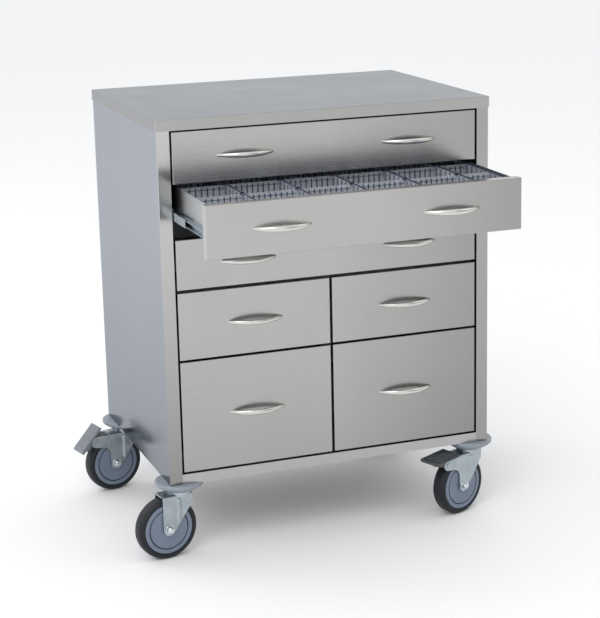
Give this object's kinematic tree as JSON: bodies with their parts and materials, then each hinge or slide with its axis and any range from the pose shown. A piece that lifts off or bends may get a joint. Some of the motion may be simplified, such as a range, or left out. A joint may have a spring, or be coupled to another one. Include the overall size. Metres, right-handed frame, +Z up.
{
  "type": "medication cart",
  "caption": "Stainless steel drawer cart with a flat worktop, three full-width drawers over four half-width drawers, bow handles, a divided clear tray and braked swivel casters.",
  "frame": {"origin": "floor level, under the centre of the overall bounding box as modelled with the second drawer open", "axes": "front faces -Y, +X to the right of a person facing the front, +Z up"},
  "size_m": [0.7912, 0.7326, 0.87],
  "materials": {
    "worktop_steel": "brushed",
    "side_steel": "brushed",
    "front_steel": "brushed",
    "inner_steel": "brushed",
    "box_steel": "satin",
    "zinc": "satin",
    "satin_nickel": "satin",
    "tyre_rubber": "matt",
    "hub_plastic": "semi-gloss",
    "pedal_plastic": "ribbed",
    "bumper_rubber": "matt",
    "clear_plastic": "clear"
  },
  "bodies": {
    "cabinet": {"worktop": "worktop_steel", "left_side_panel": "side_steel", "right_side_panel": "side_steel", "back_panel": "inner_steel", "base_panel": "inner_steel", "bottom_rail": "side_steel", "middle_rail": "inner_steel", "centre_partition": "inner_steel", "slide_uprights": "inner_steel", "cabinet_slides": "zinc", "corner_bumpers": "bumper_rubber", "caster_stems": "zinc"},
    "drawer_1": {"drawer_1_front": "front_steel", "drawer_1_box": "box_steel", "drawer_1_handles": "satin_nickel", "drawer_1_slides": "zinc"},
    "drawer_1_middle_slides": {"drawer_1_middle_slides": "zinc"},
    "drawer_2": {"drawer_2_front": "front_steel", "drawer_2_box": "box_steel", "drawer_2_handles": "satin_nickel", "drawer_2_slides": "zinc", "drawer_2_tray": "clear_plastic", "drawer_2_dividers": "clear_plastic"},
    "drawer_2_middle_slides": {"drawer_2_middle_slides": "zinc"},
    "drawer_3": {"drawer_3_front": "front_steel", "drawer_3_box": "box_steel", "drawer_3_handles": "satin_nickel", "drawer_3_slides": "zinc"},
    "drawer_3_middle_slides": {"drawer_3_middle_slides": "zinc"},
    "drawer_4_left": {"drawer_4_left_front": "front_steel", "drawer_4_left_box": "box_steel", "drawer_4_left_handle": "satin_nickel", "drawer_4_left_slides": "zinc"},
    "drawer_4_right": {"drawer_4_right_front": "front_steel", "drawer_4_right_box": "box_steel", "drawer_4_right_handle": "satin_nickel", "drawer_4_right_slides": "zinc"},
    "drawer_5_left": {"drawer_5_left_front": "front_steel", "drawer_5_left_box": "box_steel", "drawer_5_left_handle": "satin_nickel", "drawer_5_left_slides": "zinc"},
    "drawer_5_right": {"drawer_5_right_front": "front_steel", "drawer_5_right_box": "box_steel", "drawer_5_right_handle": "satin_nickel", "drawer_5_right_slides": "zinc"},
    "front_left_swivel": {"front_left_fork": "zinc"},
    "front_left_wheel": {"front_left_wheel": "hub_plastic", "front_left_tyre": "tyre_rubber"},
    "front_right_swivel": {"front_right_fork": "zinc"},
    "front_right_wheel": {"front_right_wheel": "hub_plastic", "front_right_tyre": "tyre_rubber"},
    "front_right_brake": {"front_right_brake_pedal": "pedal_plastic"},
    "rear_left_swivel": {"rear_left_fork": "zinc"},
    "rear_left_wheel": {"rear_left_wheel": "hub_plastic", "rear_left_tyre": "tyre_rubber"},
    "rear_left_brake": {"rear_left_brake_pedal": "pedal_plastic"},
    "rear_right_swivel": {"rear_right_fork": "zinc"},
    "rear_right_wheel": {"rear_right_wheel": "hub_plastic", "rear_right_tyre": "tyre_rubber"}
  },
  "joints": [
    {"name": "drawer_1_slide", "type": "slide", "parent": "cabinet", "child": "drawer_1", "axis": [0, -1, 0], "range_m": [0, 0.4]},
    {"name": "drawer_1_middle_slide", "type": "slide", "parent": "cabinet", "child": "drawer_1_middle_slides", "axis": [0, -1, 0], "range_m": [0, 0.2]},
    {"name": "drawer_2_slide", "type": "slide", "parent": "cabinet", "child": "drawer_2", "axis": [0, -1, 0], "range_m": [-0.203, 0.197]},
    {"name": "drawer_2_middle_slide", "type": "slide", "parent": "cabinet", "child": "drawer_2_middle_slides", "axis": [0, -1, 0], "range_m": [-0.1015, 0.0985]},
    {"name": "drawer_3_slide", "type": "slide", "parent": "cabinet", "child": "drawer_3", "axis": [0, -1, 0], "range_m": [0, 0.4]},
    {"name": "drawer_3_middle_slide", "type": "slide", "parent": "cabinet", "child": "drawer_3_middle_slides", "axis": [0, -1, 0], "range_m": [0, 0.2]},
    {"name": "drawer_4_left_slide", "type": "slide", "parent": "cabinet", "child": "drawer_4_left", "axis": [0, -1, 0], "range_m": [0, 0.32]},
    {"name": "drawer_4_right_slide", "type": "slide", "parent": "cabinet", "child": "drawer_4_right", "axis": [0, -1, 0], "range_m": [0, 0.32]},
    {"name": "drawer_5_left_slide", "type": "slide", "parent": "cabinet", "child": "drawer_5_left", "axis": [0, -1, 0], "range_m": [0, 0.32]},
    {"name": "drawer_5_right_slide", "type": "slide", "parent": "cabinet", "child": "drawer_5_right", "axis": [0, -1, 0], "range_m": [0, 0.32]},
    {"name": "front_left_swivel", "type": "hinge", "parent": "cabinet", "child": "front_left_swivel", "pos_m": [-0.27836, -0.1057, 0.134], "axis": [0, 0, 1], "continuous": true},
    {"name": "front_left_wheel_spin", "type": "hinge", "parent": "front_left_swivel", "child": "front_left_wheel", "pos_m": [-0.31086, -0.11143, 0.0625], "axis": [0.1736, -0.9848, 0], "continuous": true},
    {"name": "front_right_swivel", "type": "hinge", "parent": "cabinet", "child": "front_right_swivel", "pos_m": [0.34764, -0.1057, 0.134], "axis": [0, 0, 1], "continuous": true},
    {"name": "front_right_wheel_spin", "type": "hinge", "parent": "front_right_swivel", "child": "front_right_wheel", "pos_m": [0.31705, -0.11806, 0.0625], "axis": [0.3746, -0.9272, 0], "continuous": true},
    {"name": "front_right_brake_hinge", "type": "hinge", "parent": "front_right_swivel", "child": "front_right_brake", "pos_m": [0.2744, -0.13529, 0.117], "axis": [0.3746, -0.9272, 0], "range_deg": [0, 42]},
    {"name": "rear_left_swivel", "type": "hinge", "parent": "cabinet", "child": "rear_left_swivel", "pos_m": [-0.27836, 0.3183, 0.134], "axis": [0, 0, 1], "continuous": true},
    {"name": "rear_left_wheel_spin", "type": "hinge", "parent": "rear_left_swivel", "child": "rear_left_wheel", "pos_m": [-0.31051, 0.31088, 0.0625], "axis": [0.225, -0.9744, 0], "continuous": true},
    {"name": "rear_left_brake_hinge", "type": "hinge", "parent": "rear_left_swivel", "child": "rear_left_brake", "pos_m": [-0.35533, 0.30053, 0.117], "axis": [0.225, -0.9744, 0], "range_deg": [-42, 0]},
    {"name": "rear_right_swivel", "type": "hinge", "parent": "cabinet", "child": "rear_right_swivel", "pos_m": [0.34764, 0.3183, 0.134], "axis": [0, 0, 1], "continuous": true},
    {"name": "rear_right_wheel_spin", "type": "hinge", "parent": "rear_right_swivel", "child": "rear_right_wheel", "pos_m": [0.31496, 0.31371, 0.0625], "axis": [0.1392, -0.9903, 0], "continuous": true}
  ],
  "couplings": [
    {"joint": "drawer_1_middle_slide", "follows": "drawer_1_slide", "ratio": 0.5},
    {"joint": "drawer_2_middle_slide", "follows": "drawer_2_slide", "ratio": 0.5},
    {"joint": "drawer_3_middle_slide", "follows": "drawer_3_slide", "ratio": 0.5}
  ]
}
